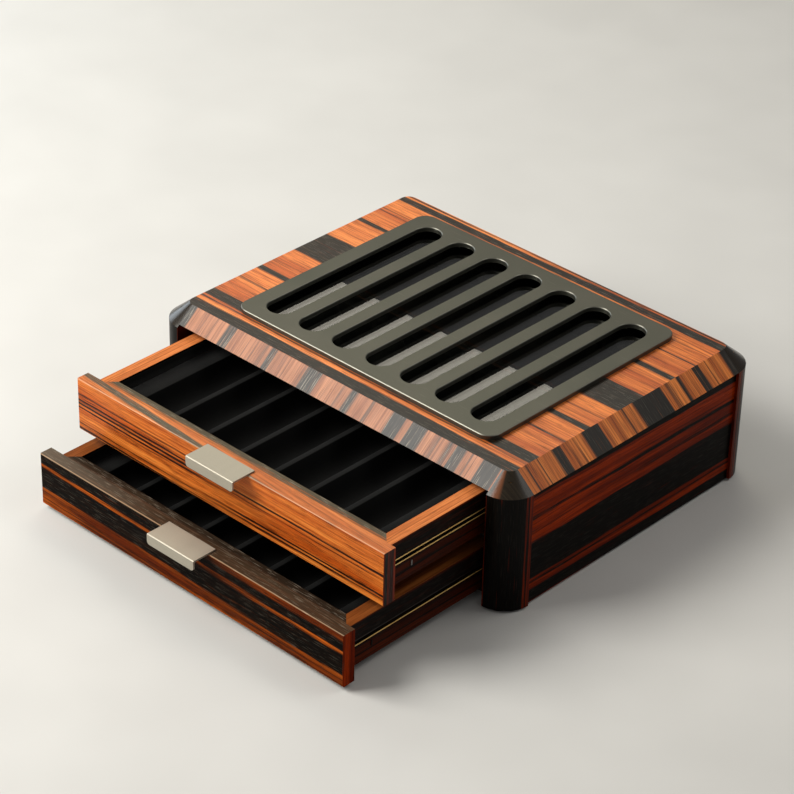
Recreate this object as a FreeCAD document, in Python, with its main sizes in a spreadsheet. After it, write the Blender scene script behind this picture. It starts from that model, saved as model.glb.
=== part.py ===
import FreeCAD, Part
import math
import os
import re

import Sketcher

# Pen collector chest: a bevelled case with a slotted window lid and two pen drawers.
# Millimetres. +X runs right along the front, +Y to the back and +Z up. The origin lies on
# the table under the middle of the case. Both drawers stand pulled out towards -Y.

SIZES = {
    # pen rows, shared by the two trays and the slots of the lid plate
    "pen_rows": 7,
    "pen_pitch": 28.8,
    "ridge_width": 4.0,
    "tray_length": 176.0,
    "tray_margin": 12.3,
    "tray_floor": 2.1,
    "tray_drop": 9.5,
    "lining_thickness": 0.6,
    "lining_drop": 1.2,
    "lining_gap": 0.3,
    # drawer boxes
    "wall_thickness": 9.8,
    "bottom_thickness": 3.0,
    "bottom_rise": 2.0,
    "bottom_groove": 4.0,
    "bottom_float": 0.3,
    # show fronts
    "front_thickness": 9.0,
    "front_overlap": 6.8,
    "front_arris": 0.5,
    "box_inset": 3.4,
    "front_gap": 3.6,
    "front_recess": 1.8,
    "front_clearance": 0.7,
    "side_reveal": 0.8,
    # case
    "felt_thickness": 1.5,
    "felt_inset": 12.0,
    "base_thickness": 4.4,
    "drawer_clearance": 0.7,
    "corner_radius": 19.5,
    "panel_thickness": 8.0,
    "panel_recess": 2.0,
    "tongue_length": 5.0,
    "tongue_thickness": 4.0,
    "tongue_room": 0.2,
    "divider_thickness": 3.0,
    "divider_groove": 3.0,
    "rear_gap": 13.6,
    # lid
    "bevel_run": 13.3,
    "bevel_drop": 11.2,
    "lid_reveal": 2.2,
    "relief_height": 1.5,
    "dowel_radius": 3.0,
    "dowel_offset": 6.0,
    "dowel_in_lid": 6.5,
    "dowel_in_post": 16.0,
    "dowel_room": 0.5,
    # window in the lid
    "slot_width": 19.0,
    "slot_setback": 12.0,
    "plate_side_margin": 11.6,
    "plate_end_margin": 11.0,
    "plate_thickness": 3.2,
    "plate_corner": 9.3,
    "plate_chamfer": 0.4,
    "window_margin": 1.2,
    "glass_margin": 4.0,
    "glass_drop": 3.0,
    "glass_thickness": 3.0,
    "glass_room": 0.2,
    "stud_radius": 1.5,
    "stud_inset": 3.8,
    "stud_length": 6.0,
    "stud_room": 0.3,
    # drawer runners: a steel bar on the case slides in a brass channel on the drawer
    "channel_rise": 15.4,
    "channel_height": 4.2,
    "channel_depth": 4.5,
    "channel_wall": 0.8,
    "runner_clearance": 0.3,
    "side_gap": 1.3,
    "bar_embed": 5.0,
    "batten_height": 18.0,
    "screw_radius": 1.5,
    "screw_head_radius": 3.0,
    "screw_head_height": 2.0,
    "screw_bite": 5.0,
    "screw_rise": 5.0,
    "screw_spread": 70.0,
    # stops and catches
    "drawer_travel": 150.0,
    "stop_clearance": 0.3,
    "stop_inset": 7.0,
    "stop_tab_width": 8.0,
    "stop_tab_thickness": 1.2,
    "stop_tab_rise": 2.8,
    "stop_tab_hold": 9.0,
    "cleat_width": 12.0,
    "cleat_length": 6.0,
    "cleat_gap": 1.1,
    "buffer_radius": 4.5,
    "buffer_spread": 60.0,
    "catch_setback": 20.0,
    "catch_width": 1.0,
    "catch_height": 3.5,
    "catch_proud": 0.6,
    "catch_rise": 7.6,
    # handles
    "handle_width": 39.6,
    "handle_thickness": 1.2,
    "handle_proud": 1.0,
    "handle_reach": 12.2,
    "handle_seat": 5.7,
    "handle_lip": 7.1,
    "handle_leg": 6.0,
    "handle_bend": 0.9,
    "handle_corner": 2.2,
    "handle_room": 0.1,
    # how far each drawer stands open
    "upper_pull": 85.2,
    "lower_pull": 116.8,
}

# Widths grow outwards from the pen rows, as half sizes from the middle of the chest.
SLOTS_HALF_X = "((pen_rows - 1) * pen_pitch + slot_width) / 2"
INNER_HALF = "(pen_rows * pen_pitch / 2 + tray_margin)"
BOX_HALF = f"({INNER_HALF} + wall_thickness)"
FRONT_HALF = f"({BOX_HALF} + front_overlap)"
OPENING_HALF = f"({FRONT_HALF} + side_reveal)"
CASE_HALF_X = f"({OPENING_HALF} + corner_radius)"
SIDE_OUTER = f"({CASE_HALF_X} - panel_recess)"
SIDE_INNER = f"({SIDE_OUTER} - panel_thickness)"
BATTEN_FACE = f"({BOX_HALF} + side_gap)"
STOP_X = f"({INNER_HALF} - stop_inset)"

# Depths grow the same way from the length of a pen row.
BOX_DEPTH = "(tray_length + 2 * wall_thickness)"
SLOTS_HALF_Y = "(tray_length / 2 - slot_setback)"
CASE_HALF_Y = (
    f"((front_recess + front_thickness + {BOX_DEPTH} + rear_gap"
    " + panel_thickness + panel_recess) / 2)"
)
POST_Y = f"({CASE_HALF_Y} - corner_radius)"
BACK_OUTER = f"({CASE_HALF_Y} - panel_recess)"
BACK_INNER = f"({BACK_OUTER} - panel_thickness)"
CLOSED_FACE = f"(front_recess - {CASE_HALF_Y})"
CLOSED_BOX = f"({CLOSED_FACE} + front_thickness)"
CASE_FRONT = f"({CLOSED_BOX} + front_clearance)"

# Heights stack up from the table.
CHANNEL_RADIUS = "((pen_pitch - ridge_width) / 2)"
BOX_HEIGHT = (
    f"(bottom_rise + bottom_thickness + tray_floor + lining_thickness"
    f" + {CHANNEL_RADIUS} + tray_drop)"
)
FRONT_HEIGHT = f"({BOX_HEIGHT} + 2 * box_inset)"
BASE_TOP = "(felt_thickness + base_thickness)"
LOWER_FRONT = f"({BASE_TOP} + drawer_clearance - box_inset)"
UPPER_FRONT = f"({LOWER_FRONT} + {FRONT_HEIGHT} + front_gap)"
DIVIDER_LOW = f"({UPPER_FRONT} - (front_gap + divider_thickness) / 2)"
UNDERSIDE = f"({UPPER_FRONT} + {FRONT_HEIGHT} + lid_reveal - relief_height)"
LID_TOP = f"({UNDERSIDE} + bevel_drop)"
GLASS_LOW = f"({LID_TOP} - glass_drop - glass_thickness)"

SIDES = {"left": -1, "right": 1}
ENDS = {"front": -1, "rear": 1}
DRAWERS = {"upper": (UPPER_FRONT, "upper_pull"), "lower": (LOWER_FRONT, "lower_pull")}

doc = FreeCAD.newDocument("pen_collector_chest")
sheet = doc.addObject("Spreadsheet::Sheet", "sizes")
for row, (alias, value) in enumerate(SIZES.items(), start=1):
    sheet.set(f"A{row}", alias)
    sheet.set(f"B{row}", str(value))
    sheet.setAlias(f"B{row}", alias)
doc.recompute()

nodes = {}


# ---------------------------------------------------------------- shared helpers

def bind(item, prop, text):
    """Tie a property to an expression whose size names are cells of the sheet."""
    named = re.sub(
        r"[a-z][a-z_]+",
        lambda word: f"sizes.{word.group()}" if word.group() in SIZES else word.group(),
        text,
    )
    item.setExpression(prop, named)


def keep(name, item):
    """Hand a finished sub-part over as a node."""
    item.Label = name
    nodes[name] = item
    return item


def span(sign, near, far):
    """The low and high ends of a stretch on one side of the middle plane."""
    if sign > 0:
        return near, far
    return f"-({far})", f"-({near})"


def both(half):
    """A stretch centred on the middle plane."""
    return f"-({half})", half


def block(name, x_span, y_span, z_span):
    """A square-edged board between two planes along each axis."""
    box = doc.addObject("Part::Box", name)
    spans = (x_span, y_span, z_span)
    for axis, size, (low, high) in zip("xyz", ("Length", "Width", "Height"), spans):
        bind(box, f"Placement.Base.{axis}", low)
        bind(box, size, f"({high}) - ({low})")
    return box


def rod(name, radius, start, length, direction):
    """A round bar from its start point along a direction."""
    bar = doc.addObject("Part::Cylinder", name)
    up = FreeCAD.Vector(0, 0, 1)
    bar.Placement.Rotation = FreeCAD.Rotation(up, FreeCAD.Vector(*direction))
    for axis, place in zip("xyz", start):
        bind(bar, f"Placement.Base.{axis}", place)
    bind(bar, "Radius", radius)
    bind(bar, "Height", length)
    return bar


def fuse(name, pieces):
    """One solid from touching or overlapping pieces."""
    union = doc.addObject("Part::MultiFuse", name)
    union.Shapes = pieces
    union.Refine = True
    return union


def cut(name, base, tools):
    """Take the tools away from the base."""
    result = doc.addObject("Part::Cut", name)
    result.Base = base
    result.Tool = tools[0] if len(tools) == 1 else fuse(f"{name}_cutters", tools)
    return result


def group(name, pieces):
    """Separate solids that share one node."""
    compound = doc.addObject("Part::Compound", name)
    compound.Links = pieces
    return compound


def new_body(name):
    return doc.addObject("PartDesign::Body", name)


def sketch_on(body, role, offset="0"):
    """A sketch on one of the body's own origin planes, moved along the plane's normal."""
    plane = next(item for item in body.Origin.OriginFeatures if item.Role == role)
    sketch = body.newObject("Sketcher::SketchObject", f"{body.Name}_sketch")
    sketch.AttachmentSupport = [(plane, "")]
    sketch.MapMode = "FlatFace"
    bind(sketch, "AttachmentOffset.Base.z", offset)
    return sketch


def dimension(sketch, kind, *where, drawn, text):
    """Add a dimension at its size as first drawn, and tie it to the sheet."""
    number = sketch.addConstraint(Sketcher.Constraint(kind, *where, float(drawn)))
    bind(sketch, f"Constraints[{number}]", text)


def polygon(sketch, corners):
    """A straight-sided outline whose corners are given as expressions."""
    count = len(corners)
    start = [FreeCAD.Vector(50, 0, 0)]
    turn = FreeCAD.Rotation(FreeCAD.Vector(0, 0, 1), 360.0 / count)
    for _ in range(count - 1):
        start.append(turn.multVec(start[-1]))
    for index in range(count):
        sketch.addGeometry(Part.LineSegment(start[index], start[(index + 1) % count]))
    for index, (across, along) in enumerate(corners):
        after = (index + 1) % count
        sketch.addConstraint(Sketcher.Constraint("Coincident", index, 2, after, 1))
        corner = start[index]
        dimension(sketch, "DistanceX", -1, 1, index, 1, drawn=corner.x, text=across)
        dimension(sketch, "DistanceY", -1, 1, index, 1, drawn=corner.y, text=along)


def rectangle(sketch, x_span, y_span):
    """An upright rectangle between two lines each way."""
    (left, right), (low, high) = x_span, y_span
    polygon(sketch, [(left, low), (right, low), (right, high), (left, high)])


def arc(sketch, centre, radius, first, last):
    """An arc between two angles given in quarter turns."""
    quarter = math.pi / 2
    circle = Part.Circle(FreeCAD.Vector(*centre, 0), FreeCAD.Vector(0, 0, 1), radius)
    return sketch.addGeometry(Part.ArcOfCircle(circle, first * quarter, last * quarter))


def line(sketch, start, end):
    return sketch.addGeometry(
        Part.LineSegment(FreeCAD.Vector(*start, 0), FreeCAD.Vector(*end, 0))
    )


def join_smoothly(sketch, chain):
    """Join each piece's end to the next one's start with a tangent joint."""
    for piece, after in zip(chain, chain[1:] + chain[:1]):
        sketch.addConstraint(Sketcher.Constraint("Tangent", piece, 2, after, 1))


def rounded_rectangle(sketch, half_x, half_y, radius):
    """A rectangle about the origin with four equal round corners."""
    low = line(sketch, (-50, -40), (50, -40))
    low_right = arc(sketch, (50, -30), 10, 3, 4)
    right = line(sketch, (60, -30), (60, 30))
    high_right = arc(sketch, (50, 30), 10, 0, 1)
    high = line(sketch, (50, 40), (-50, 40))
    high_left = arc(sketch, (-50, 30), 10, 1, 2)
    left = line(sketch, (-60, 30), (-60, -30))
    low_left = arc(sketch, (-50, -30), 10, 2, 3)
    corners = [low_right, high_right, high_left, low_left]
    join_smoothly(sketch, [low, low_right, right, high_right, high, high_left, left, low_left])
    for flat in (low, high):
        sketch.addConstraint(Sketcher.Constraint("Horizontal", flat))
    for upright in (right, left):
        sketch.addConstraint(Sketcher.Constraint("Vertical", upright))
    for corner in corners[1:]:
        sketch.addConstraint(Sketcher.Constraint("Equal", corners[0], corner))
    dimension(sketch, "Radius", low_right, drawn=10, text=radius)
    dimension(sketch, "DistanceX", -1, 1, right, 1, drawn=60, text=half_x)
    dimension(sketch, "DistanceX", left, 1, -1, 1, drawn=60, text=half_x)
    dimension(sketch, "DistanceY", -1, 1, high, 1, drawn=40, text=half_y)
    dimension(sketch, "DistanceY", low, 1, -1, 1, drawn=40, text=half_y)


def slot(sketch, centre_x, half_length, width):
    """A slot along the sketch's upright axis, with round ends."""
    right = line(sketch, (10, -40), (10, 40))
    far = arc(sketch, (0, 40), 10, 0, 2)
    left = line(sketch, (-10, 40), (-10, -40))
    near = arc(sketch, (0, -40), 10, 2, 4)
    join_smoothly(sketch, [right, far, left, near])
    for straight in (right, left):
        sketch.addConstraint(Sketcher.Constraint("Vertical", straight))
    middle = f"{half_length} - {width} / 2"
    dimension(sketch, "Radius", far, drawn=10, text=f"{width} / 2")
    dimension(sketch, "DistanceX", -1, 1, far, 3, drawn=0, text=centre_x)
    dimension(sketch, "DistanceY", -1, 1, far, 3, drawn=40, text=middle)
    dimension(sketch, "DistanceY", near, 3, -1, 1, drawn=40, text=middle)


def trough(sketch, centre_x, centre_z, radius, lift):
    """A half-round channel section whose straight sides rise a little above its centre."""
    bowl = arc(sketch, (0, 0), 10, 2, 4)
    right = line(sketch, (10, 0), (10, 5))
    top = line(sketch, (10, 5), (-10, 5))
    left = line(sketch, (-10, 5), (-10, 0))
    sketch.addConstraint(Sketcher.Constraint("Tangent", bowl, 2, right, 1))
    sketch.addConstraint(Sketcher.Constraint("Coincident", right, 2, top, 1))
    sketch.addConstraint(Sketcher.Constraint("Coincident", top, 2, left, 1))
    sketch.addConstraint(Sketcher.Constraint("Tangent", left, 2, bowl, 1))
    sketch.addConstraint(Sketcher.Constraint("Vertical", right))
    sketch.addConstraint(Sketcher.Constraint("Vertical", left))
    sketch.addConstraint(Sketcher.Constraint("Horizontal", top))
    dimension(sketch, "Radius", bowl, drawn=10, text=radius)
    dimension(sketch, "DistanceX", -1, 1, bowl, 3, drawn=0, text=centre_x)
    dimension(sketch, "DistanceY", -1, 1, bowl, 3, drawn=0, text=centre_z)
    dimension(sketch, "DistanceY", bowl, 3, top, 1, drawn=5, text=lift)


def pad(body, sketch, length, backwards=False, symmetric=False):
    feature = body.newObject("PartDesign::Pad", f"{body.Name}_pad")
    feature.Profile = sketch
    feature.Reversed = backwards
    if symmetric:
        feature.SideType = "Symmetric"
    bind(feature, "Length", length)
    return feature


def pocket(body, sketch, depth, backwards=False):
    """Cut the sketch into the body, and make sure that it takes something away."""
    doc.recompute()
    before = body.Shape.Volume
    feature = body.newObject("PartDesign::Pocket", f"{body.Name}_pocket")
    feature.Profile = sketch
    feature.Reversed = backwards
    bind(feature, "Length", depth)
    doc.recompute()
    if body.Shape.Volume >= before:
        raise RuntimeError(f"{feature.Name} cuts nothing")
    return feature


def repeat_rows(body, feature, sketch):
    """Repeat a feature once for each pen row, from the leftmost row to the right."""
    pattern = body.newObject("PartDesign::LinearPattern", f"{body.Name}_rows")
    pattern.Originals = [feature]
    pattern.Direction = (sketch, ["H_Axis"])
    pattern.Mode = "Spacing"
    bind(pattern, "Offset", "pen_pitch")
    bind(pattern, "Occurrences", "pen_rows")
    body.Tip = pattern
    doc.recompute()
    return pattern


def edges_of(feature, wanted):
    """Names of the feature's edges for which the test holds."""
    doc.recompute()
    return [
        f"Edge{number}"
        for number, edge in enumerate(feature.Shape.Edges, start=1)
        if wanted(edge)
    ]


def dress(body, kind, feature, edges, prop, size):
    """Round or chamfer the named edges of a feature."""
    dressed = body.newObject(f"PartDesign::{kind}", f"{body.Name}_{kind.lower()}")
    dressed.Base = (feature, edges)
    bind(dressed, prop, size)
    body.Tip = dressed
    return dressed


def near(first, second):
    return abs(first - second) < 1e-4


# ---------------------------------------------------------------- lid and window

FIRST_ROW = "-((pen_rows - 1) * pen_pitch / 2)"
PLATE_HALF_X = f"({SLOTS_HALF_X} + plate_side_margin)"
PLATE_HALF_Y = f"({SLOTS_HALF_Y} + plate_end_margin)"
CORNERS = [(sign_x, sign_y) for sign_y in (-1, 1) for sign_x in (-1, 1)]


def plate_studs(name, radius, length):
    """Round bars at the plate's four corners, from its underside down into the lid."""
    places = [
        (f"{x} * ({PLATE_HALF_X} - stud_inset)", f"{y} * ({PLATE_HALF_Y} - stud_inset)")
        for x, y in CORNERS
    ]
    return [
        rod(f"{name}_{number}", radius, (x, y, LID_TOP), length, (0, 0, -1))
        for number, (x, y) in enumerate(places, start=1)
    ]


def corner_dowels(name, radius, down, up):
    """Round bars in the four posts, crossing the joint with the lid."""
    places = [
        (f"{x} * ({OPENING_HALF} + dowel_offset)", f"{y} * ({POST_Y} + dowel_offset)")
        for x, y in CORNERS
    ]
    low = f"{UNDERSIDE} - ({down})"
    return [
        rod(f"{name}_{number}", radius, (x, y, low), f"({down}) + ({up})", (0, 0, 1))
        for number, (x, y) in enumerate(places, start=1)
    ]


def build_lid():
    """A board bevelled from its underside up to its top, open under the plate's slots."""
    body = new_body("lid_board")
    outline = sketch_on(body, "XY_Plane", UNDERSIDE)
    rounded_rectangle(outline, CASE_HALF_X, CASE_HALF_Y, "corner_radius")
    board = pad(body, outline, "bevel_drop")
    bind(board, "TaperAngle", "-atan(bevel_run / bevel_drop)")
    window = sketch_on(body, "XY_Plane", LID_TOP)
    rectangle(
        window,
        both(f"({SLOTS_HALF_X} + window_margin)"),
        both(f"({SLOTS_HALF_Y} + window_margin)"),
    )
    pocket(body, window, "bevel_drop")
    rebate = sketch_on(body, "XY_Plane", LID_TOP)
    rectangle(
        rebate,
        both(f"({SLOTS_HALF_X} + glass_margin + glass_room)"),
        both(f"({SLOTS_HALF_Y} + glass_margin + glass_room)"),
    )
    pocket(body, rebate, "glass_drop + glass_thickness")
    relief = sketch_on(body, "XY_Plane", UNDERSIDE)
    rectangle(relief, both(OPENING_HALF), (f"-({CASE_HALF_Y})", CASE_FRONT))
    pocket(body, relief, "relief_height", backwards=True)
    holes = corner_dowels("lid_dowel_hole", "dowel_radius", "0", "dowel_in_lid + dowel_room")
    holes += plate_studs("stud_hole", "stud_radius", "stud_length + stud_room")
    keep("lid_panel", cut("lid_drilled", body, holes))


def build_window():
    """The glass in its rebate, and the slotted plate that lies over it."""
    keep("window_glass", block(
        "glass",
        both(f"({SLOTS_HALF_X} + glass_margin)"),
        both(f"({SLOTS_HALF_Y} + glass_margin)"),
        (GLASS_LOW, f"{GLASS_LOW} + glass_thickness"),
    ))
    body = new_body("plate_body")
    outline = sketch_on(body, "XY_Plane", LID_TOP)
    rounded_rectangle(outline, PLATE_HALF_X, PLATE_HALF_Y, "plate_corner")
    pad(body, outline, "plate_thickness")
    first_slot = sketch_on(body, "XY_Plane", f"{LID_TOP} + plate_thickness")
    slot(first_slot, FIRST_ROW, SLOTS_HALF_Y, "slot_width")
    opening = pocket(body, first_slot, "plate_thickness")
    rows = repeat_rows(body, opening, first_slot)
    top = rows.Shape.BoundBox.ZMax
    rim = edges_of(rows, lambda edge: near(edge.BoundBox.ZMin, top))
    dress(body, "Chamfer", rows, rim, "Size", "plate_chamfer")
    keep("slot_plate", body)
    keep("plate_studs", group("studs", plate_studs("stud", "stud_radius", "stud_length")))


# ---------------------------------------------------------------- case

def tongue_band(outer):
    """The stretch across a panel's thickness that its tongue takes, in the middle."""
    middle = f"({outer} - panel_thickness / 2)"
    return f"({middle} - tongue_thickness / 2)", f"({middle} + tongue_thickness / 2)"


CASE_RISE = ("felt_thickness", UNDERSIDE)
DIVIDER_RISE = (DIVIDER_LOW, f"{DIVIDER_LOW} + divider_thickness")


def build_post(end, side):
    """A quarter-round corner post, grooved for the panels that meet it."""
    sign_x, sign_y = SIDES[side], ENDS[end]
    name = f"{end}_{side}_post"
    post = doc.addObject("Part::Cylinder", f"{name}_quarter")
    post.Angle = 90
    quarter_turns = {(1, 1): 0, (-1, 1): 1, (-1, -1): 2, (1, -1): 3}[sign_x, sign_y]
    post.Placement.Rotation = FreeCAD.Rotation(FreeCAD.Vector(0, 0, 1), 90 * quarter_turns)
    bind(post, "Radius", "corner_radius")
    bind(post, "Height", f"{UNDERSIDE} - felt_thickness")
    bind(post, "Placement.Base.x", f"{sign_x} * {OPENING_HALF}")
    bind(post, "Placement.Base.y", f"{sign_y} * {POST_Y}")
    bind(post, "Placement.Base.z", "felt_thickness")
    grooves = [block(
        f"{name}_side_groove",
        span(sign_x, *tongue_band(SIDE_OUTER)),
        span(sign_y, POST_Y, f"{POST_Y} + tongue_length + tongue_room"),
        CASE_RISE,
    )]
    if end == "rear":
        grooves.append(block(
            f"{name}_back_groove",
            span(sign_x, OPENING_HALF, f"{OPENING_HALF} + tongue_length + tongue_room"),
            tongue_band(BACK_OUTER),
            CASE_RISE,
        ))
    number = CORNERS.index((sign_x, sign_y))
    holes = corner_dowels(f"{name}_hole", "dowel_radius", "dowel_in_post + dowel_room", "1")
    keep(name, cut(f"{name}_cut", post, grooves + [holes[number]]))


def build_side_panel(side):
    """A side panel with a tongue into each post, a groove for the divider and screw holes."""
    sign = SIDES[side]
    name = f"side_panel_{side}"
    board = block(f"{name}_board", span(sign, SIDE_INNER, SIDE_OUTER), both(POST_Y), CASE_RISE)
    tongue = block(
        f"{name}_tongue",
        span(sign, *tongue_band(SIDE_OUTER)),
        both(f"({POST_Y} + tongue_length)"),
        CASE_RISE,
    )
    groove = block(
        f"{name}_groove",
        span(sign, SIDE_INNER, f"{SIDE_INNER} + divider_groove"),
        both(POST_Y),
        DIVIDER_RISE,
    )
    holes = [
        hole
        for drawer, (level, _) in DRAWERS.items()
        for hole in runner_screws(
            f"{name}_{drawer}_hole", level, sign, "screw_radius", "screw_head_radius"
        )
    ]
    keep(name, cut(f"{name}_cut", fuse(f"{name}_blank", [board, tongue]), [groove] + holes))


def build_back_panel():
    """The back panel, made the same way as the sides."""
    board = block("back_board", both(OPENING_HALF), (BACK_INNER, BACK_OUTER), CASE_RISE)
    tongue = block(
        "back_tongue",
        both(f"({OPENING_HALF} + tongue_length)"),
        tongue_band(BACK_OUTER),
        CASE_RISE,
    )
    groove = block(
        "back_groove",
        both(OPENING_HALF),
        (BACK_INNER, f"{BACK_INNER} + divider_groove"),
        DIVIDER_RISE,
    )
    keep("back_panel", cut("back_cut", fuse("back_blank", [board, tongue]), [groove]))


def level_panel(name, reach, rise):
    """A panel that fills the case between the posts and reaches into the walls by a size."""
    long_way = block(
        f"{name}_long",
        both(OPENING_HALF),
        (CASE_FRONT, f"{BACK_INNER} + {reach}"),
        rise,
    )
    wide_way = block(f"{name}_wide", both(f"({SIDE_INNER} + {reach})"), both(POST_Y), rise)
    keep(name, fuse(f"{name}_board", [long_way, wide_way]))


def build_felt():
    """The felt sheet that the chest stands on."""
    body = new_body("felt_sheet")
    outline = sketch_on(body, "XY_Plane")
    rounded_rectangle(
        outline,
        f"({CASE_HALF_X} - felt_inset)",
        f"({CASE_HALF_Y} - felt_inset)",
        "(corner_radius - felt_inset)",
    )
    pad(body, outline, "felt_thickness")
    keep("base_felt", body)


def runner_screws(name, level, sign, radius, head_radius):
    """Two screws through a batten into the side panel, above the bar."""
    middle = f"({level} + box_inset + channel_rise + screw_rise)"
    inwards = (sign, 0, 0)
    screws = []
    for number, way in enumerate((-1, 1), start=1):
        start = (f"{sign} * {BATTEN_FACE}", f"{way} * screw_spread", middle)
        reach = f"{SIDE_INNER} - {BATTEN_FACE} + screw_bite"
        shank = rod(f"{name}_shank_{number}", radius, start, reach, inwards)
        head = rod(f"{name}_head_{number}", head_radius, start, "screw_head_height", inwards)
        screws.append(fuse(f"{name}_{number}", [shank, head]))
    return screws


def build_runner(drawer, side):
    """A wooden batten on the side panel, with the steel bar let into its face."""
    level = DRAWERS[drawer][0]
    sign = SIDES[side]
    name = f"{drawer}_{side}_runner"
    middle = f"({level} + box_inset + channel_rise)"
    length = (CASE_FRONT, BACK_INNER)
    bar_half = "(channel_height / 2 - channel_wall - runner_clearance)"
    bar_tip = f"({BOX_HALF} - channel_depth + channel_wall + runner_clearance)"
    bar_rise = (f"{middle} - {bar_half}", f"{middle} + {bar_half}")
    embedded = f"({BATTEN_FACE} + bar_embed)"
    keep(f"{name}_bar", block(f"{name}_strip", span(sign, bar_tip, embedded), length, bar_rise))
    rise = (f"{middle} - batten_height / 2", f"{middle} + batten_height / 2")
    between_posts = block(
        f"{name}_inner", span(sign, BATTEN_FACE, OPENING_HALF), length, rise
    )
    on_panel = block(f"{name}_outer", span(sign, OPENING_HALF, SIDE_INNER), both(POST_Y), rise)
    batten = fuse(f"{name}_blank", [between_posts, on_panel])
    groove = block(f"{name}_groove", span(sign, BATTEN_FACE, embedded), length, bar_rise)
    holes = runner_screws(f"{name}_hole", level, sign, "screw_radius", "screw_head_radius")
    keep(f"{name}_batten", cut(f"{name}_batten_cut", batten, [groove] + holes))
    return runner_screws(f"{name}_screw", level, sign, "screw_radius", "screw_head_radius")


def build_stops():
    """Cleats that hold the drawers back when open, and pegs that meet them when shut."""
    ceilings = {"upper": UNDERSIDE, "lower": DIVIDER_LOW}
    pegs = []
    for drawer, (level, _) in DRAWERS.items():
        rim = f"({level} + {FRONT_HEIGHT} - box_inset)"
        rear = f"({CLOSED_BOX} + {BOX_DEPTH} - drawer_travel - stop_clearance)"
        cleats = [
            block(
                f"{drawer}_{side}_cleat",
                span(sign, f"{STOP_X} - cleat_width / 2", f"{STOP_X} + cleat_width / 2"),
                (f"{rear} - cleat_length", rear),
                (f"{rim} + cleat_gap", ceilings[drawer]),
            )
            for side, sign in SIDES.items()
        ]
        keep(f"{drawer}_stop_cleats", group(f"{drawer}_cleats", cleats))
        middle = f"({level} + {FRONT_HEIGHT} / 2)"
        for side, sign in SIDES.items():
            pegs.append(rod(
                f"{drawer}_{side}_peg",
                "buffer_radius",
                (f"{sign} * buffer_spread", BACK_INNER, middle),
                "rear_gap - stop_clearance",
                (0, -1, 0),
            ))
    keep("drawer_buffers", group("buffer_pegs", pegs))


def build_case():
    build_lid()
    build_window()
    dowels = corner_dowels("dowel", "dowel_radius", "dowel_in_post", "dowel_in_lid")
    keep("lid_dowels", group("dowels", dowels))
    for end in ENDS:
        for side in SIDES:
            build_post(end, side)
    for side in SIDES:
        build_side_panel(side)
    build_back_panel()
    level_panel("base_panel", "0", ("felt_thickness", BASE_TOP))
    level_panel("divider_panel", "divider_groove", DIVIDER_RISE)
    build_felt()
    screws = [
        screw
        for drawer in DRAWERS
        for side in SIDES
        for screw in build_runner(drawer, side)
    ]
    keep("runner_screws", group("screws", screws))
    build_stops()


# ---------------------------------------------------------------- drawers

def build_front(drawer, face, level):
    """The show front, eased on its arrises and let in for the handle."""
    body = new_body(f"{drawer}_front_board")
    outline = sketch_on(body, "XZ_Plane", f"-({face})")
    rectangle(outline, both(FRONT_HALF), (level, f"{level} + {FRONT_HEIGHT}"))
    board = pad(body, outline, "front_thickness", backwards=True)
    doc.recompute()
    front_y = board.Shape.BoundBox.YMin
    outer = edges_of(board, lambda edge: near(edge.BoundBox.YMax, front_y))
    dress(body, "Chamfer", board, outer, "Size", "front_arris")
    top = f"({level} + {FRONT_HEIGHT})"
    sink = "(handle_thickness - handle_proud)"
    width = both("(handle_width / 2 + handle_room)")
    seat_end = f"{face} + handle_seat + handle_room"
    seat = block(
        f"{drawer}_handle_seat", width, (f"{face} - 1", seat_end), (f"{top} - {sink}", f"{top} + 1")
    )
    kerf = block(
        f"{drawer}_handle_kerf",
        width,
        (f"{face} + handle_seat - handle_thickness - handle_room", seat_end),
        (f"{top} - {sink} - handle_leg - handle_room", f"{top} + 1"),
    )
    keep(f"{drawer}_front", cut(f"{drawer}_front_cut", body, [seat, kerf]))


def build_handle(drawer, face, level):
    """A bent aluminium tab: a lip in front, a flat top and a leg down into the front."""
    top = f"({level} + {FRONT_HEIGHT} + handle_proud)"
    under = f"({top} - handle_thickness)"
    lip = f"({face} - handle_reach)"
    heel = f"({face} + handle_seat)"
    body = new_body(f"{drawer}_handle_bend")
    profile = sketch_on(body, "YZ_Plane")
    polygon(profile, [
        (lip, f"{top} - handle_lip"),
        (f"{lip} + handle_thickness", f"{top} - handle_lip"),
        (f"{lip} + handle_thickness", under),
        (f"{heel} - handle_thickness", under),
        (f"{heel} - handle_thickness", f"{under} - handle_leg"),
        (heel, f"{under} - handle_leg"),
        (heel, top),
        (lip, top),
    ])
    strip = pad(body, profile, "handle_width", symmetric=True)
    doc.recompute()
    box = strip.Shape.BoundBox
    thickness = sheet.get("handle_thickness")
    lip_low = box.ZMax - sheet.get("handle_lip")

    def across(edge):
        return near(edge.BoundBox.XLength, box.XLength)

    def is_bend(edge):
        outer = near(edge.BoundBox.YMax, box.YMin) and near(edge.BoundBox.ZMin, box.ZMax)
        inner = near(edge.BoundBox.YMax, box.YMin + thickness)
        return across(edge) and (outer or inner and near(edge.BoundBox.ZMin, box.ZMax - thickness))

    def is_lip_corner(edge):
        in_lip = edge.BoundBox.YMax < box.YMin + thickness + 1e-4
        low = near(edge.BoundBox.ZMax, lip_low)
        return in_lip and low and near(edge.BoundBox.YLength, thickness)

    corners = dress(
        body, "Fillet", strip, edges_of(strip, is_lip_corner), "Radius", "handle_corner"
    )
    dress(body, "Fillet", corners, edges_of(corners, is_bend), "Radius", "handle_bend")
    keep(f"{drawer}_handle", body)


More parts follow.
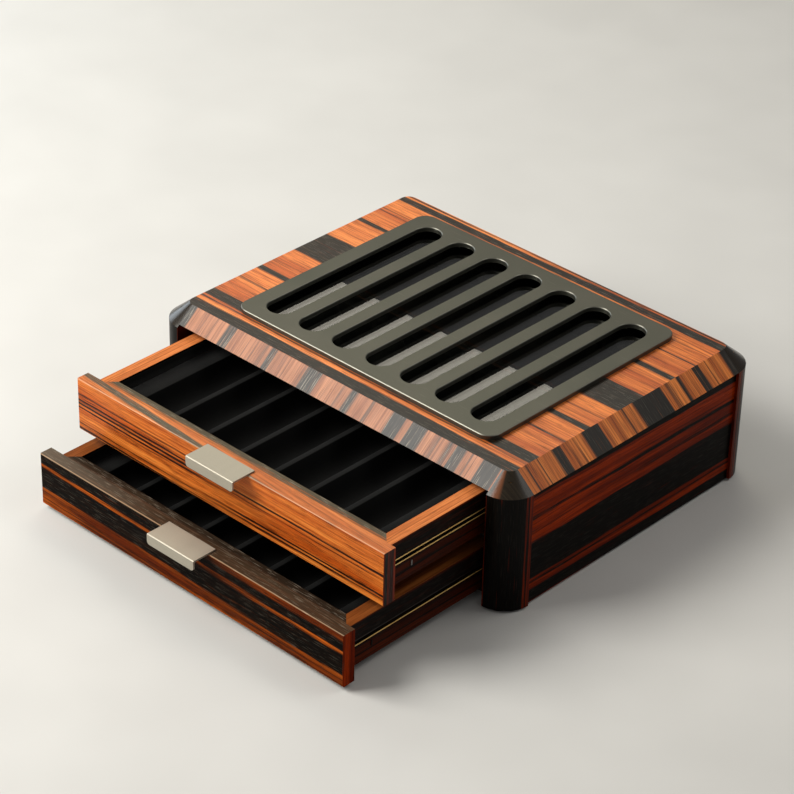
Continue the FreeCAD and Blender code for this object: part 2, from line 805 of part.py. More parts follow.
def mitred_wall(name, corners, rise):
    """A drawer wall cut to length at 45 degrees: its outline seen from above, raised."""
    body = new_body(f"{name}_board")
    outline = sketch_on(body, "XY_Plane", rise[0])
    polygon(outline, corners)
    pad(body, outline, f"({rise[1]}) - ({rise[0]})")
    return body


def build_box(drawer, box_front, rise):
    """Four mitred walls, grooved together for the bottom panel and the brass channels."""
    box_back = f"({box_front} + {BOX_DEPTH})"
    inner_front = f"({box_front} + wall_thickness)"
    inner_back = f"({box_back} - wall_thickness)"
    middle = f"({rise[0]} + channel_rise)"
    channel_rise = (f"{middle} - channel_height / 2", f"{middle} + channel_height / 2")
    bottom_rise = (
        f"{rise[0]} + bottom_rise",
        f"{rise[0]} + bottom_rise + bottom_thickness",
    )
    grooves = [
        block(
            f"{drawer}_{side}_channel_groove",
            span(sign, f"{BOX_HALF} - channel_depth", BOX_HALF),
            (box_front, box_back),
            channel_rise,
        )
        for side, sign in SIDES.items()
    ]
    grooves.append(block(
        f"{drawer}_bottom_groove",
        both(f"({INNER_HALF} + bottom_groove)"),
        (f"{inner_front} - bottom_groove", f"{inner_back} + bottom_groove"),
        bottom_rise,
    ))
    walls = {
        "box_front": [
            (f"-{BOX_HALF}", box_front),
            (BOX_HALF, box_front),
            (INNER_HALF, inner_front),
            (f"-{INNER_HALF}", inner_front),
        ],
        "box_back": [
            (f"-{INNER_HALF}", inner_back),
            (INNER_HALF, inner_back),
            (BOX_HALF, box_back),
            (f"-{BOX_HALF}", box_back),
        ],
    }
    for side, sign in SIDES.items():
        walls[f"side_{side}"] = [
            (f"{sign} * {BOX_HALF}", box_front),
            (f"{sign} * {BOX_HALF}", box_back),
            (f"{sign} * {INNER_HALF}", inner_back),
            (f"{sign} * {INNER_HALF}", inner_front),
        ]
    for wall, corners in walls.items():
        name = f"{drawer}_{wall}"
        keep(name, cut(f"{name}_cut", mitred_wall(name, corners, rise), grooves))
    room = "bottom_groove - bottom_float"
    keep(f"{drawer}_bottom", block(
        f"{drawer}_bottom_board",
        both(f"({INNER_HALF} + {room})"),
        (f"{inner_front} - ({room})", f"{inner_back} + {room}"),
        bottom_rise,
    ))
    build_channels(drawer, box_front, middle)


def build_channels(drawer, box_front, middle):
    """Brass channels flush with the box sides and open outwards."""
    inner_half = "(channel_height / 2 - channel_wall)"
    for side, sign in SIDES.items():
        name = f"{drawer}_channel_{side}"
        body = new_body(f"{name}_strip")
        profile = sketch_on(body, "XZ_Plane", f"-({box_front})")
        outer, web = f"{sign} * {BOX_HALF}", f"{sign} * ({BOX_HALF} - channel_depth)"
        inside = f"{sign} * ({BOX_HALF} - channel_depth + channel_wall)"
        polygon(profile, [
            (outer, f"{middle} - channel_height / 2"),
            (outer, f"{middle} - {inner_half}"),
            (inside, f"{middle} - {inner_half}"),
            (inside, f"{middle} + {inner_half}"),
            (outer, f"{middle} + {inner_half}"),
            (outer, f"{middle} + channel_height / 2"),
            (web, f"{middle} + channel_height / 2"),
            (web, f"{middle} - channel_height / 2"),
        ])
        pad(body, profile, BOX_DEPTH, backwards=True)
        keep(name, body)


def build_tray(drawer, box_front, rise):
    """A grooved tray block, its lining, and the lining of the walls above it."""
    floor = f"({rise[0]} + bottom_rise + bottom_thickness)"
    ridge = f"({floor} + tray_floor + {CHANNEL_RADIUS} + lining_thickness)"
    low = f"({box_front} + wall_thickness)"
    half = f"({INNER_HALF} - lining_gap)"
    near_end = f"-({low} + lining_gap)"
    length = "tray_length - 2 * lining_gap"
    core_radius = f"({CHANNEL_RADIUS} + lining_thickness)"

    tray = new_body(f"{drawer}_tray_block")
    section = sketch_on(tray, "XZ_Plane", near_end)
    rectangle(section, both(half), (floor, ridge))
    pad(tray, section, length, backwards=True)
    row = sketch_on(tray, "XZ_Plane", near_end)
    trough(row, FIRST_ROW, ridge, core_radius, "1")
    repeat_rows(tray, pocket(tray, row, length), row)
    keep(f"{drawer}_tray", tray)

    lining = new_body(f"{drawer}_tray_cloth")
    sheet_section = sketch_on(lining, "XZ_Plane", near_end)
    rectangle(sheet_section, both(half), (ridge, f"{ridge} + lining_thickness"))
    pad(lining, sheet_section, length, backwards=True)
    shell = sketch_on(lining, "XZ_Plane", near_end)
    trough(shell, FIRST_ROW, ridge, core_radius, "lining_thickness / 2")
    repeat_rows(lining, pad(lining, shell, length, backwards=True), shell)
    hollow = sketch_on(lining, "XZ_Plane", near_end)
    trough(hollow, FIRST_ROW, ridge, CHANNEL_RADIUS, "lining_thickness + 1")
    repeat_rows(lining, pocket(lining, hollow, length), hollow)
    keep(f"{drawer}_tray_lining", lining)

    high = f"({box_front} + {BOX_DEPTH} - wall_thickness)"
    wall_rise = (f"{ridge} + lining_thickness", f"{rise[1]} - lining_drop")
    outer = block(f"{drawer}_lining_outer", both(INNER_HALF), (low, high), wall_rise)
    inner = block(
        f"{drawer}_lining_inner",
        both(f"({INNER_HALF} - lining_thickness)"),
        (f"{low} + lining_thickness", f"{high} - lining_thickness"),
        wall_rise,
    )
    keep(f"{drawer}_wall_lining", cut(f"{drawer}_lining_ring", outer, [inner]))


def build_drawer_steel(drawer, box_front, rise):
    """Catch tabs on the box sides and stop tabs on the box back."""
    catch_y = f"({box_front} + catch_setback)"
    catch_low = f"({rise[0]} + catch_rise)"
    box_back = f"({box_front} + {BOX_DEPTH})"
    catches = []
    stops = []
    for side, sign in SIDES.items():
        catches.append(block(
            f"{drawer}_{side}_catch",
            span(sign, BOX_HALF, f"{BOX_HALF} + catch_proud"),
            (catch_y, f"{catch_y} + catch_width"),
            (catch_low, f"{catch_low} + catch_height"),
        ))
        stops.append(block(
            f"{drawer}_{side}_stop",
            span(sign, f"{STOP_X} - stop_tab_width / 2", f"{STOP_X} + stop_tab_width / 2"),
            (box_back, f"{box_back} + stop_tab_thickness"),
            (f"{rise[1]} - stop_tab_hold", f"{rise[1]} + stop_tab_rise"),
        ))
    keep(f"{drawer}_catch_tabs", group(f"{drawer}_catches", catches))
    keep(f"{drawer}_stop_tabs", group(f"{drawer}_stops", stops))


def build_drawer(drawer):
    level, pull = DRAWERS[drawer]
    face = f"({CLOSED_FACE} - {pull})"
    box_front = f"({face} + front_thickness)"
    rise = (f"({level} + box_inset)", f"({level} + {FRONT_HEIGHT} - box_inset)")
    build_front(drawer, face, level)
    build_handle(drawer, face, level)
    build_box(drawer, box_front, rise)
    build_tray(drawer, box_front, rise)
    build_drawer_steel(drawer, box_front, rise)


# ---------------------------------------------------------------- build and write

def check_model():
    """Stop if any object failed or any node isn't sound."""
    for item in doc.Objects:
        if {"Invalid", "Error"} & set(item.State):
            raise RuntimeError(f"{item.Name} failed: {item.State}")
    for name, item in nodes.items():
        if item.Shape.isNull() or not item.Shape.isValid() or not item.Shape.Solids:
            raise RuntimeError(f"{name} has no sound solid")


build_case()
for drawer_name in DRAWERS:
    build_drawer(drawer_name)
doc.recompute()
check_model()
os.makedirs("parts", exist_ok=True)
for node, shape_holder in nodes.items():
    shape_holder.Shape.exportStep(f"parts/{node}.step")
print(len(nodes), "nodes written")
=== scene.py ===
"""The looks of the pen collector chest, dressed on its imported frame."""
import math

import bmesh
import bpy
from mathutils import Matrix, Vector


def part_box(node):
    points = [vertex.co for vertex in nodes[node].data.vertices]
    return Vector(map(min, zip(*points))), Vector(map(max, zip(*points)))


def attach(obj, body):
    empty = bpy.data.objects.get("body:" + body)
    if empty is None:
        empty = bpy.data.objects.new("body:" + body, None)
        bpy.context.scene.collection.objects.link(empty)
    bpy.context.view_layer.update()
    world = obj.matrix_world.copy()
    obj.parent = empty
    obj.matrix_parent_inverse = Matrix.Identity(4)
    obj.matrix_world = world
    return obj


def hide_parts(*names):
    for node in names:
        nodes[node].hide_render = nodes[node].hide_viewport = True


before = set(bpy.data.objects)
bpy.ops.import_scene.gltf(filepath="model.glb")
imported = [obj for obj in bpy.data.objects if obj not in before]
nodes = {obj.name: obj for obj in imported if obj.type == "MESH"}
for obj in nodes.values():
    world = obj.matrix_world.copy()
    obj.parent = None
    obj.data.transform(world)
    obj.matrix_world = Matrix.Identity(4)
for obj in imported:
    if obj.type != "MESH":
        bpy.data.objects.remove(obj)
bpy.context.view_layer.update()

MM = 0.001

# camera: the photograph's own lens and place, in metres, degrees and millimetres of film
CAMERA_AT = (1.02358, -1.15524, 1.00663)
CAMERA_AZIMUTH = 42.85
CAMERA_ELEVATION = 32.17
CAMERA_ROLL = 1.5
CAMERA_LENS = 130.61
CAMERA_SENSOR = 36.0
CAMERA_REACH = 20.0

# light, in metres and watts: a softbox stands at a point and aims at another, or has its bottom edge
# at a point and leans over the object by a tilt in degrees
WORLD_LEVEL = 0.20
WORLD_COLOUR = (1.0, 0.99, 0.97, 1.0)
LAMP_COLOUR = (1.0, 0.975, 0.92)
SOFTBOXES = {
    "key_softbox": {
        "at": (-0.78, -0.92, 1.02), "aim": (0.0, -0.05, 0.05), "size": (0.9, 0.9), "power": 26.5},
    "back_softbox": {
        "edge": (-0.77, 0.848, 0.777), "tilt": 38.0, "size": (1.1, 0.7), "power": 4.8,
        "colour": (1.0, 0.93, 0.78)},
    "left_softbox": {
        "at": (-1.30, 0.02, 0.40), "aim": (-0.1, -0.05, 0.08), "size": (0.5, 0.6), "power": 3.5,
        "colour": (0.82, 0.92, 1.0)},
    "right_softbox": {
        "at": (0.58, 0.50, 1.05), "aim": (0.1, 0.0, 0.08), "size": (0.6, 0.6), "power": 2.4},
}
FLOOR_HALF = 6.0

# the case, in millimetres from the middle of its footprint; a LEAF is the width that its bands span
CASE_HALF_X = 150.0
CASE_HALF_Y = 115.0
LID_TOP = 91.5
LID_FLAT_X = 136.7
LID_FLAT_Y = 101.7
LID_LEAF = 206.4
LID_CHANGE = (-20.0, 20.0)
PANEL_TOP = 80.3
PANEL_LEAF = 80.0
BACK_INNER_Y = 107.0
SIDE_INNER_X = 142.0
POST_RADIUS = 19.5
POST_LEAF = 30.6

# the lid's conical corners: their axis, the level part round it, and where the brown sliver begins and
# ends, in radians from the front bevel, each with its softness
CORNER_X = 130.5
CORNER_Y = 95.5
CORNER_FLAT = 6.2
SLIVER_START = (0.16, 0.05)
SLIVER_END = (0.42, 0.06)

# the lid's lower front arris with its painted highlight, its black underside and its black window, in
# millimetres
HIGHLIGHT_UNDER_Z = 81.0
HIGHLIGHT_PAST_Y = 111.8
HIGHLIGHT_HALF_X = 130.0
UNDERSIDE_Z = 81.9
UNDERSIDE_HALF = (130.0, 103.0)
WINDOW_HALF = (100.5, 80.5)

# the drawers, in millimetres; the leaf of a top edge begins outside the wood, so a START is added
FRONT_LEAF = 36.4
FRONT_END_LEAF = 9.0
FRONT_TOP_START = 8.0
FRONT_TOP_LEAF = 24.0
WALL_LEAF = 30.0
WALL_EDGE_START = 400.0
# where the painted sheen on the left of a drawer front's top edge is full and where it is gone, in x
PAINTED_SHEEN_SPAN = (-125.0, -30.0)
# the width of the painted highlight along a drawer front's top front arris
ARRIS_WIDTH = 0.45
LIP_FROM_X = 122.0
LIP_MARGIN = 1.0

# the cloth, in metres; steps and cuts are counts, the crown step is in degrees
LINING = 0.6 * MM
CHANNEL_RADIUS = 12.4 * MM
CHANNEL_STEPS = 32
CROWN_STEP = 22.5
PEN_PITCH = 28.8 * MM
PEN_ROWS = 7
CUTS_ALONG = 44
NAP_DEPTH = 0.05 * MM
NAP_WAVES = (900, 700)
CLOTH_EDGE = 0.25 * MM
WALL_CLOTH_CORNER = 0.7 * MM
BASE_FELT_CORNER = 7.5 * MM
BASE_FELT_RIM = 0.5 * MM
BASE_FELT_EDGE = 0.4 * MM


# ---------------------------------------------------------------- colours and bands

def linear(code):
    """A hex colour as the linear numbers that a shader takes."""
    values = [int(code[i:i + 2], 16) / 255 for i in (1, 3, 5)]
    red, green, blue = (v / 12.92 if v <= 0.04045 else ((v + 0.055) / 1.055) ** 2.4 for v in values)
    return red, green, blue, 1.0


def linears(codes):
    """Hex colours parted by spaces, as linear numbers."""
    return [linear(code) for code in codes.split()]


# five tones each: light wood, deeper wood, dark band, pore, streak inside the dark bands
LID_TONES = linears("#FF9A50 #CE662E #18110A #6A3010 #3A2C1A")
# the lid's right leaf, its tones darkened as painted shade
LID_PAINTED_SHADE_TONES = linears("#F48E42 #BE5A24 #110C06 #60290C #261D11")
BEVEL_TONES = linears("#D08A5E #A4603A #1C1813 #64381E #3C342A")
FLANK_TONES = linears("#FF9844 #C4601E #150F08 #5A2A0C #2A2013")
EBONY_TONES = linears("#A43402 #601600 #050403 #1A0A05 #120A05")
# the top edge of a drawer box's back, darkened as painted shade under the lid
SHADED_REAR_TONES = linears("#6E4428 #4E2E1A #0E0A08 #2E1A10 #20140C")
# the outer faces of drawer walls, darkened as painted shade
SHADED_WALL_TONES = linears("#5A1E04 #340E02 #080504 #160A05 #120805")
FRONT_TONES = linears("#FF9A42 #C85A18 #1E0C04 #601E04 #3A1606")
DARK_TONES = linears("#C25E18 #642404 #080604 #26120A #24140A")
EDGE_TONES = linears("#E48A4C #C06430 #524A3C #7A4A2C #6A5E4A")
DARK_EDGE_TONES = linears("#5C4230 #38271A #231B13 #7E6852 #463A2C")
# the side tops of the lower drawer, darkened as painted shade under the upper drawer
SHADED_LOW_SIDE_TONES = linears("#A4602E #743C18 #2C170B #5C2C12 #3C2212")
STAINED_TONES = linears("#2A211B #1E1713 #120E0C #3A2E26 #2A211B")
BEECH_TONES = linears("#C79A66 #A97B4A #6E4C2C #8A6238 #6E4C2C")

# pairs and single tones
CORNER_DARK = linears("#211A12 #2E261B")
PLATE = linears("#52544B #605F56")
PLATE_SCRATCH = linear("#7C7C70")
# a painted highlight on the plate's chamfers
PLATE_BEVEL_HIGHLIGHT = linear("#74736A")
HANDLE = linears("#A8A294 #BBB4A4")
STEEL = linears("#6E6E6C #9A9A98")
# steel darkened as painted shade, for the lower drawer's catch tabs
SHADED_STEEL = linears("#181512 #26221E")
BRIGHT_BRASS = linears("#E6AC58 #FFE090")
# brass darkened as painted shade, inside the runner channels and on a lip in shadow
SHADED_BRASS = linears("#140C05 #24160A")
GLASS = linears("#A8AAA8 #A4A6A4")
PEN_BED_CLOTH = linears("#070707 #0F0F0E")
UNDER_FELT_CLOTH = linears("#121212 #20201F")
FLOOR = linears("#D4D3D0 #DAD9D6")
PLAIN_BLACK = linear("#0B0A09")
# a pale tone for flecks in the pores of dark bands, also used for the painted sheen on a drawer front's
# top edge
PALE_FLECK_AND_SHEEN = linear("#A39A8A")
# the pale colour of the painted highlights on the arrises
ARRIS_HIGHLIGHT = linear("#DDB48C")

# dark bands, in millimetres across a leaf: start, end and, where it is not 1, strength
LID_BACK = [(0.8, 1.6), (3.5, 10.0)]
LID_FRONT = [(178.5, 188.0), (189.2, 190.6, 0.85), (194.5, 204.4)]
LID_LEFT = LID_BACK + [
    (24.5, 26, 0.6), (27.5, 29.5, 0.8), (46, 50), (62, 63, 0.4), (78, 108),
    (125, 126, 0.4), (137, 141.5), (156, 158, 0.7)] + LID_FRONT
LID_RIGHT = LID_BACK + [
    (20, 21, 0.6), (34, 35.2, 0.9), (54, 59), (84, 108), (120, 121, 0.4),
    (133, 138), (154.6, 156.2, 0.9), (168, 169, 0.4)] + LID_FRONT
BEVEL_FRONT = [
    (0, 24.5), (35, 36, 0.35), (43, 44, 0.4), (53, 61, 0.75), (67, 68, 0.3),
    (73.5, 74.5, 0.4), (79, 80.5, 0.4), (87, 90, 0.6), (91.5, 97, 0.8), (108, 109, 0.3),
    (122.5, 135, 0.9), (143, 144, 0.3), (152.5, 154, 0.5), (160, 165.5, 0.9), (177.5, 179, 0.7),
    (184, 185, 0.3), (194, 205), (209.5, 222), (230, 234, 0.5), (239, 243, 0.7),
    (245, 253, 0.9), (256.5, 259, 0.5), (266, 280), (284, 300)]
BEVEL_SIDE = [
    (0, 18), (25, 27.5, 0.6), (33, 34, 0.35), (35, 36.6, 0.9), (48, 56, 0.9), (62, 63, 0.3),
    (67, 69, 0.4), (75, 90), (101, 102, 0.35), (111, 113.5, 0.7), (117, 120, 0.4), (122, 148),
    (152, 156, 0.6), (163, 166.5, 0.9), (178, 185, 0.95), (190, 191, 0.4), (205, 230)]
# on the side and back panels the first band, under the lid, is a painted shadow of the lid's overhang;
# the others are dark bands of the wood
PANEL_BANDS_WITH_SHADOW = [
    (0, 6.2), (18.6, 21.8, 0.9), (28.6, 31.0, 0.6), (36.8, 62.8), (64.8, 66.9, 0.75), (70.9, 80)]
POST_BANDS = [(2.6, 4.0), (5.0, 30.6)]
WALL_BANDS = [(1.0, 13.5, 0.85), (16.5, 19.0, 0.6), (23.0, 24.6, 0.8)]
FACING_BAND = 8.0
BACKING_BAND = (2.5, 7.0)

# How each drawer looks. The face of its front has two leaves, bands on the left and patch on the right,
# which takes over between the two places in patch_from. The top edges of the front and of the box have
# tones of their own, and the left of the front's top edge carries a painted sheen, its strength given
# per drawer.
DRAWER_LOOKS = {
    "upper": {
        "seed": 100.0, "gloss": 0.15,
        "tones": FRONT_TONES, "top_tones": EDGE_TONES, "side_tones": EDGE_TONES,
        "bands": [(10.2, 11.6, 0.6), (14.0, 15.3), (16.4, 18.1), (19.3, 20.8, 0.9),
                  (21.4, 22.3, 0.6), (30.8, 32.2, 0.7), (34.0, 35.6, 0.8)],
        "patch": [(3.0, 3.8, 0.3), (15.0, 16.6), (18.4, 19.3, 0.5), (29.2, 30.9, 0.9),
                  (31.5, 33.0, 0.8)],
        "patch_from": (-30.0, 15.0), "drift": 0.0, "wander": 1.4, "edge": 0.45, "flecks": 0.1,
        "top_bands": [(5.4, 10.8, 0.8)], "top_drift": 0.058, "painted_sheen": 0.0,
        "end_bands": [(0.0, 3.6), (3.6, 9.0, 0.5)],
    },
    "lower": {
        "seed": 140.0, "gloss": 0.02,
        "tones": DARK_TONES, "top_tones": DARK_EDGE_TONES, "side_tones": SHADED_LOW_SIDE_TONES,
        "bands": [(0.6, 9.6), (11.3, 26.6), (29.2, 30.4, 0.4), (32.8, 34.0, 0.45),
                  (35.4, 36.4, 0.6)],
        "patch": [(5.0, 12.2), (13.8, 28.8), (31.0, 32.2, 0.45), (34.2, 35.2, 0.5)],
        "patch_from": (10.0, 70.0), "drift": -0.014, "wander": 0.9, "edge": 1.0, "flecks": 0.13,
        "top_bands": [(0.0, 24.0, 0.45)], "top_drift": 0.0, "painted_sheen": 0.22,
        "end_bands": [(0.0, 0.8, 0.6)],
    },
}

# the noises of a leaf: cycles per millimetre along and across the grain, seed, detail, roughness
LEAF_NOISE = {
    "sway": ((0.006, 0.02), 0, 1.0, 0.55),
    "ripple": ((0.03, 0.10), 3, 1.0, 0.55),
    "broad": ((0.005, 0.10), 5, 2.0, 0.55),
    "fibre": ((0.010, 0.62), 7, 3.0, 0.62),
    "blush": ((0.016, 0.05), 9, 2.0, 0.55),
    "thread": ((0.040, 2.3), 11, 2.0, 0.6),
    "fleck": ((0.085, 2.1), 13, 1.0, 0.55),
}

# the wood between the bands: a noise, the levels at which it sets in and is full, its share, its tone
LEAF_SHADES = [
    ("broad", 0.34, 0.66, 1.0, "deep"),
    ("blush", 0.50, 0.72, 0.35, "deep"),
    ("fibre", 0.42, 0.70, 0.85, "deep"),
    ("fibre", 0.58, 0.76, 0.55, "pore"),
    ("thread", 0.48, 0.76, 0.60, "pore"),
]

# a ramp holds 32 stops and a band takes four
BANDS_IN_A_RAMP = 7

# marks of drawing on metal, in cycles per millimetre along and across
DRAW_MARKS = (0.04, 6.0)

# a face counts as facing an axis where its normal has more than this share along it
FACING = 0.6

# the sockets of a mix node for each kind of value: first, second, result
MIX_SOCKETS = {"RGBA": (6, 7, 2), "FLOAT": (2, 3, 0)}


class Graph:
    """A short way to write one procedural material; x, y and z are the object's own millimetres."""

    def __init__(self, name, **sockets):
        self.material = bpy.data.materials.new(name)
        self.material.use_nodes = True
        self.tree = self.material.node_tree
        self.shader = self.tree.nodes["Principled BSDF"]
        for socket, value in sockets.items():
            self.shader.inputs[socket.replace("_", " ")].default_value = value
        place = self.add("ShaderNodeTexCoord").outputs["Object"]
        scaled = self.add("ShaderNodeVectorMath", operation="SCALE")
        self.tree.links.new(place, scaled.inputs[0])
        scaled.inputs["Scale"].default_value = 1 / MM
        self.x, self.y, self.z = self.split(scaled.outputs[0])

    def add(self, kind, **settings):
        node = self.tree.nodes.new(kind)
        for key, value in settings.items():
            setattr(node, key, value)
        return node

    def put(self, value, socket):
        if isinstance(value, bpy.types.NodeSocket):
            self.tree.links.new(value, socket)
        else:
            socket.default_value = value

    def split(self, vector):
        node = self.add("ShaderNodeSeparateXYZ")
        self.tree.links.new(vector, node.inputs[0])
        return node.outputs[0], node.outputs[1], node.outputs[2]

    def normal(self):
        return self.split(self.add("ShaderNodeNewGeometry").outputs["True Normal"])

    def math(self, operation, *values):
        node = self.add("ShaderNodeMath", operation=operation)
        for value, socket in zip(values, node.inputs):
            self.put(value, socket)
        return node.outputs[0]

    def step(self, value, edge, soft=0.01):
        """0 below the edge, 1 above it."""
        return self.span(value, edge - soft, edge + soft)

    def span(self, value, low, high, to_low=0.0, to_high=1.0):
        node = self.add("ShaderNodeMapRange", clamp=True)
        for socket, number in zip(node.inputs, (value, low, high, to_low, to_high)):
            self.put(number, socket)
        return node.outputs[0]

    def texture(self, dimensions, places, detail, rough):
        """Noise over (coordinate, scale, seed) places."""
        join = self.add("ShaderNodeCombineXYZ")
        for (value, scale, seed), socket in zip(places, join.inputs):
            self.put(self.math("MULTIPLY_ADD", value, scale, seed), socket)
        node = self.add("ShaderNodeTexNoise", noise_dimensions=dimensions)
        self.tree.links.new(join.outputs[0], node.inputs["Vector"])
        for socket, value in (("Scale", 1.0), ("Detail", detail), ("Roughness", rough)):
            node.inputs[socket].default_value = value
        return node.outputs["Fac"]

    def noise(self, a, b, scale, seed, detail=2.0, rough=0.55):
        """Flat noise over two coordinates, each with its own scale in cycles per millimetre."""
        return self.texture("2D", [(a, scale[0], seed), (b, scale[1], seed * 1.7)], detail, rough)

    def speckle(self, scale, detail=2.0, seed=0.0):
        """Solid noise, in cycles per millimetre."""
        places = [(value, scale, seed) for value in (self.x, self.y, self.z)]
        return self.texture("3D", places, detail, 0.5)

    def ramp(self, value, stops):
        """A grey ramp through (place, level) stops."""
        node = self.add("ShaderNodeValToRGB")
        elements = node.color_ramp.elements
        for place, _ in stops[2:]:
            elements.new(place)
        for element, (place, level) in zip(elements, sorted(stops, key=lambda stop: stop[0])):
            element.position = place
            element.color = (level, level, level, 1.0)
        self.put(value, node.inputs[0])
        return node.outputs["Color"]

    def mix(self, share, a, b, kind="RGBA"):
        """A colour between a and b."""
        first, second, result = MIX_SOCKETS[kind]
        node = self.add("ShaderNodeMix", data_type=kind)
        self.put(share, node.inputs["Factor"])
        self.put(a, node.inputs[first])
        self.put(b, node.inputs[second])
        return node.outputs[result]

    def blend(self, share, a, b):
        """A number between a and b."""
        return self.mix(share, a, b, "FLOAT")

    def mix_leaves(self, share, under, over):
        """Two leaves joined by a mask: colour, pores and threads."""
        return [self.mix(share, under[0], over[0]), self.blend(share, under[1], over[1]),
                self.blend(share, under[2], over[2])]

    def inverse(self, value):
        """1 where a mask is 0, and 0 where it is 1."""
        return self.math("SUBTRACT", 1.0, value)

    def both(self, a, b, first, second):
        """Two values added, each with its own weight."""
        return self.math("ADD", self.math("MULTIPLY", a, first), self.math("MULTIPLY", b, second))

    def finish(self, colour, roughness=None, height=None, depth=0.05, strength=0.6):
        self.put(colour, self.shader.inputs["Base Color"])
        if roughness is not None:
            self.put(roughness, self.shader.inputs["Roughness"])
        if height is not None:
            bump = self.add("ShaderNodeBump")
            bump.inputs["Strength"].default_value = strength
            bump.inputs["Distance"].default_value = depth * MM
            self.put(height, bump.inputs["Height"])
            self.put(bump.outputs[0], self.shader.inputs["Normal"])
        return self.material


# ---------------------------------------------------------------- veneer

def band_mask(g, across, width, bands, edge):
    """1 inside the dark bands of a leaf, softened over an edge; width and edge are in millimetres."""
    share = g.math("DIVIDE", across, width)
    mask = None
    for first in range(0, len(bands), BANDS_IN_A_RAMP):
        stops = []
        for start, end, *strength in bands[first:first + BANDS_IN_A_RAMP]:
            level = strength[0] if strength else 1.0
            inner = min(edge, (end - start) * 0.4)
            stops += [(start - edge, 0.0), (start + inner, level),
                      (end - inner, level), (end + edge, 0.0)]
        stops = [(min(max(place / width, 0.0), 1.0), level) for place, level in stops]
        part = g.ramp(share, stops)
        mask = part if mask is None else g.math("MAXIMUM", mask, part)
    return mask


def leaf(g, along, across, width, bands, tones, seed, drift=0.0, wander=1.6, edge=0.8, lines=0.7,
         flecks=0.5):
    """The colour, pores and threads of one leaf of veneer, its grain along the first coordinate.

    The bands lie across it: drift slants them, wander makes them sway, edge is how soft they are and
    flecks how pale the pores in them. Lines is the strength of the growth lines between them.
    """
    light, deep, dark, pore, streak = tones

    def layer(name, place):
        scale, further, detail, rough = LEAF_NOISE[name]
        return g.noise(along, place, scale, seed + further, detail, rough)

    shift = g.math("MULTIPLY_ADD", layer("sway", across), wander * 2, -wander)
    shift = g.math("MULTIPLY_ADD", layer("ripple", across), wander * 0.35, shift)
    place = g.math("ADD", across, shift)
    if drift:
        place = g.math("MULTIPLY_ADD", along, drift, place)
    noises = {name: layer(name, place) for name in ("broad", "blush", "fibre", "thread", "fleck")}
    fibre, thread = noises["fibre"], noises["thread"]

    body = light
    for name, low, high, most, tone in LEAF_SHADES:
        share = g.span(noises[name], low, high, 0.0, most)
        body = g.mix(share, body, {"deep": deep, "pore": pore}[tone])
    growth = g.math("ABSOLUTE", g.math("SUBTRACT", fibre, 0.52))
    ink = g.math("MULTIPLY", g.span(growth, 0.008, 0.030, 1.0, 0.0),
                 g.span(noises["broad"], 0.42, 0.60, 0.0, lines))
    body = g.mix(ink, body, dark)
    pores = g.span(noises["fleck"], 0.63, 0.73)
    colour = g.mix(g.math("MULTIPLY", pores, 0.5), body, pore)
    if bands:
        mask = band_mask(g, place, width, bands, edge)
        rag = g.math("MULTIPLY_ADD", fibre, 1.1, g.math("MULTIPLY_ADD", thread, 0.9, -1.0))
        mask = g.span(g.math("ADD", mask, rag), 0.24, 0.76)
        night = g.mix(g.span(fibre, 0.46, 0.76, 0.0, 0.8), dark, streak)
        night = g.mix(g.math("MULTIPLY", pores, flecks), night, PALE_FLECK_AND_SHEEN)
        colour = g.mix(mask, colour, night)
    return colour, pores, thread


def wood_finish(g, colour, pores, thread, rough=0.34):
    """Satin wood, rougher along its threads and cut by its pores."""
    relief = g.math("MULTIPLY_ADD", pores, -1.0, g.math("MULTIPLY", thread, 0.5))
    gloss = g.math("MULTIPLY_ADD", thread, 0.16, rough)
    return g.finish(colour, gloss, relief, depth=0.05, strength=0.5)


def lid_top(g):
    """The level leaf of the lid, banded from its back arris to its front one; its right half has tones
    darkened as painted shade.
    """
    from_back = g.math("SUBTRACT", LID_FLAT_Y, g.y)
    left, right = (
        leaf(g, g.x, from_back, LID_LEAF, bands, tones, seed=2.0, wander=0.8, flecks=0.25)
        for bands, tones in ((LID_LEFT, LID_TONES), (LID_RIGHT, LID_PAINTED_SHADE_TONES)))
    return g.mix_leaves(g.span(g.x, *LID_CHANGE), left, right)


def within(g, reach_x, reach_y, half):
    """1 inside an upright shaft round the middle of the case, of two half sizes."""
    past_x = g.math("SUBTRACT", reach_x, half[0])
    past_y = g.math("SUBTRACT", reach_y, half[1])
    return g.math("LESS_THAN", g.math("MAXIMUM", past_x, past_y), 0.0)


